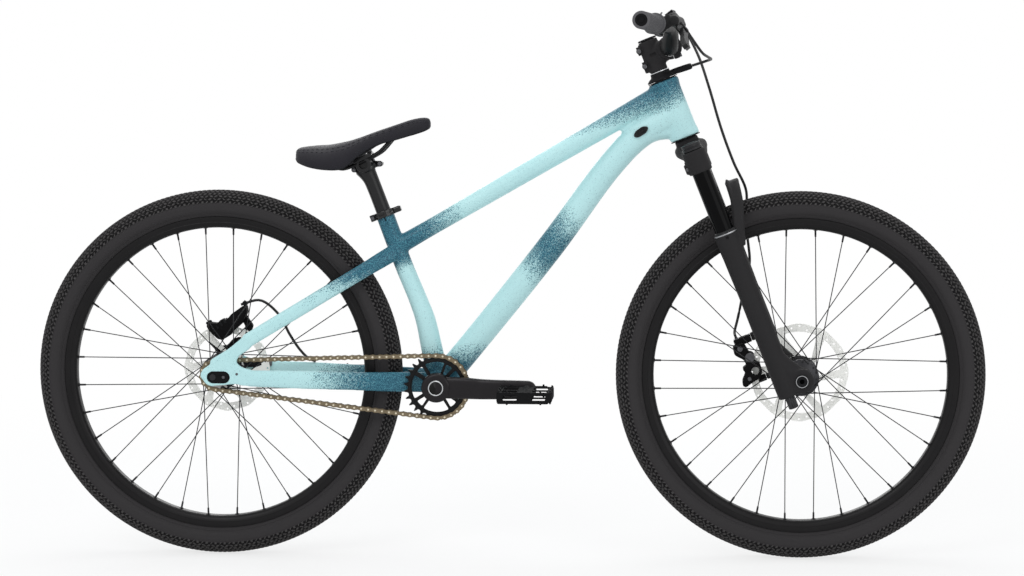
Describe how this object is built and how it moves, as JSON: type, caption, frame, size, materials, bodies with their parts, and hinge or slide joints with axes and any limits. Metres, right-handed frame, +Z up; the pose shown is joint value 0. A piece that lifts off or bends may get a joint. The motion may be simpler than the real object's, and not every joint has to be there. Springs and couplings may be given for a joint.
{
  "type": "dirt jump bicycle",
  "caption": "Small-framed jump bicycle with a low sloping top tube, a suspension fork, a single-speed chain, disc brakes, wide risers and a nose-up saddle.",
  "frame": {"origin": "on the ground plane under the tyres, midway between the wheels and on the mid plane", "axes": "+X forward, +Y to the rider's left, away from the chain, +Z up"},
  "size_m": [1.725, 0.7748, 0.9839],
  "materials": {
    "painted_aqua": "light aqua paint with a speckled fade to dark teal, satin",
    "painted_teal": "dark teal paint, satin",
    "satin_black_alloy": "satin black coating",
    "dark_alloy": "black anodised, semi-matte",
    "gloss_stanchion": "glossy black sliding tube",
    "crank_alloy": "satin dark grey",
    "bright_steel": "bright rotor steel",
    "sprocket_steel": "bare machined steel",
    "dark_steel": "dark steel",
    "chain_steel": "bronze-brown plated links",
    "tyre_rubber": "matt black rubber",
    "grip_rubber": "mid grey ribbed rubber",
    "soft_rubber": "black rubber",
    "hose_plastic": "black plastic sheath",
    "pedal_plastic": "black nylon",
    "saddle_cover": "matt dark cover over foam",
    "red_knob": "red anodised"
  },
  "bodies": {
    "frame": {"head_tube": "painted_teal", "top_tube": "painted_aqua", "down_tube": "painted_aqua", "seat_tube": "painted_aqua", "chainstay_right": "painted_aqua", "chainstay_left": "painted_aqua", "seatstay_right": "painted_aqua", "seatstay_left": "painted_aqua", "hose_port_grommet": "soft_rubber", "rear_axle": "dark_steel", "axle_slider_right": "dark_alloy", "axle_slider_left": "dark_alloy", "headset_bearing_upper": "dark_alloy", "headset_bearing_lower": "dark_alloy", "bottom_bracket_cup_right": "dark_alloy", "bottom_bracket_cup_left": "dark_alloy", "chain": "chain_steel", "seat_collar": "dark_steel", "rear_caliper": "dark_alloy", "rear_brake_hose": "hose_plastic"},
    "saddle_post": {"seatpost": "dark_alloy", "rail_clamp": "dark_alloy", "saddle_rails": "dark_steel", "saddle": "saddle_cover"},
    "crankset": {"crank_arm_right": "crank_alloy", "crank_arm_left": "crank_alloy", "chainring": "crank_alloy", "pedal_axle_right": "sprocket_steel", "pedal_axle_left": "sprocket_steel"},
    "pedal_right_body": {"pedal_right": "pedal_plastic"},
    "pedal_left_body": {"pedal_left": "pedal_plastic"},
    "cog": {"rear_cog": "sprocket_steel"},
    "rear_wheel": {"rear_tyre": "tyre_rubber", "rear_rim": "dark_alloy", "rear_hub": "dark_alloy", "rear_rotor": "bright_steel"},
    "steering": {"fork_crown": "satin_black_alloy", "stanchion_right": "gloss_stanchion", "stanchion_left": "gloss_stanchion", "headset_cover": "dark_alloy", "stem": "dark_alloy", "stem_faceplate": "dark_alloy", "stem_top_cap": "dark_alloy", "handlebar": "dark_alloy", "grip_right": "grip_rubber", "grip_left": "grip_rubber", "brake_body_right": "dark_alloy", "brake_body_left": "dark_alloy", "rear_hose_upper": "hose_plastic"},
    "lever_right_body": {"brake_lever_right": "dark_alloy"},
    "lever_left_body": {"brake_lever_left": "dark_alloy"},
    "fork_lower_body": {"fork_lowers": "satin_black_alloy", "front_axle": "sprocket_steel", "rebound_knob": "red_knob", "front_caliper": "dark_alloy", "front_brake_hose": "hose_plastic"},
    "front_wheel": {"front_tyre": "tyre_rubber", "front_rim": "dark_alloy", "front_hub": "dark_alloy", "front_rotor": "bright_steel"}
  },
  "joints": [
    {"name": "steering_turn", "type": "hinge", "parent": "frame", "child": "steering", "pos_m": [0.31981, 0, 0.7644], "axis": [-0.3681, 0, 0.9298], "range_deg": [-70, 70]},
    {"name": "fork_travel", "type": "slide", "parent": "steering", "child": "fork_lower_body", "axis": [-0.3681, 0, 0.9298], "range_m": [0, 0.1], "stiffness_N_per_m": 6000, "springref_m": -0.02, "deforming": ["front_brake_hose"]},
    {"name": "front_wheel_spin", "type": "hinge", "parent": "fork_lower_body", "child": "front_wheel", "pos_m": [0.5285, 0, 0.334], "axis": [0, 1, 0], "continuous": true},
    {"name": "rear_wheel_spin", "type": "hinge", "parent": "frame", "child": "rear_wheel", "pos_m": [-0.5285, 0, 0.334], "axis": [0, 1, 0], "continuous": true},
    {"name": "crank_spin", "type": "hinge", "parent": "frame", "child": "crankset", "pos_m": [-0.12685, 0, 0.315], "axis": [0, 1, 0], "continuous": true, "deforming": ["chain"]},
    {"name": "cog_spin", "type": "hinge", "parent": "frame", "child": "cog", "pos_m": [-0.5285, 0, 0.334], "axis": [0, 1, 0], "continuous": true, "deforming": ["chain"]},
    {"name": "pedal_right_spin", "type": "hinge", "parent": "crankset", "child": "pedal_right_body", "pos_m": [0.03985, -0.133, 0.315], "axis": [0, 1, 0], "continuous": true},
    {"name": "pedal_left_spin", "type": "hinge", "parent": "crankset", "child": "pedal_left_body", "pos_m": [-0.29355, 0.133, 0.315], "axis": [0, 1, 0], "continuous": true},
    {"name": "brake_squeeze_right", "type": "hinge", "parent": "steering", "child": "lever_right_body", "pos_m": [0.31745, -0.20158, 0.95219], "axis": [-0.7835, 0.1074, -0.6121], "range_deg": [0, 20], "stiffness_Nm_per_rad": 1.2, "springref_deg": -8.59},
    {"name": "brake_squeeze_left", "type": "hinge", "parent": "steering", "child": "lever_left_body", "pos_m": [0.31745, 0.20158, 0.95219], "axis": [0.7835, 0.1074, 0.6121], "range_deg": [0, 20], "stiffness_Nm_per_rad": 1.2, "springref_deg": -8.59},
    {"name": "saddle_height", "type": "slide", "parent": "frame", "child": "saddle_post", "axis": [-0.3551, 0, 0.9348], "range_m": [-0.04, 0.02]}
  ],
  "couplings": [
    {"joint": "cog_spin", "follows": "crank_spin", "ratio": 2.1538}
  ]
}
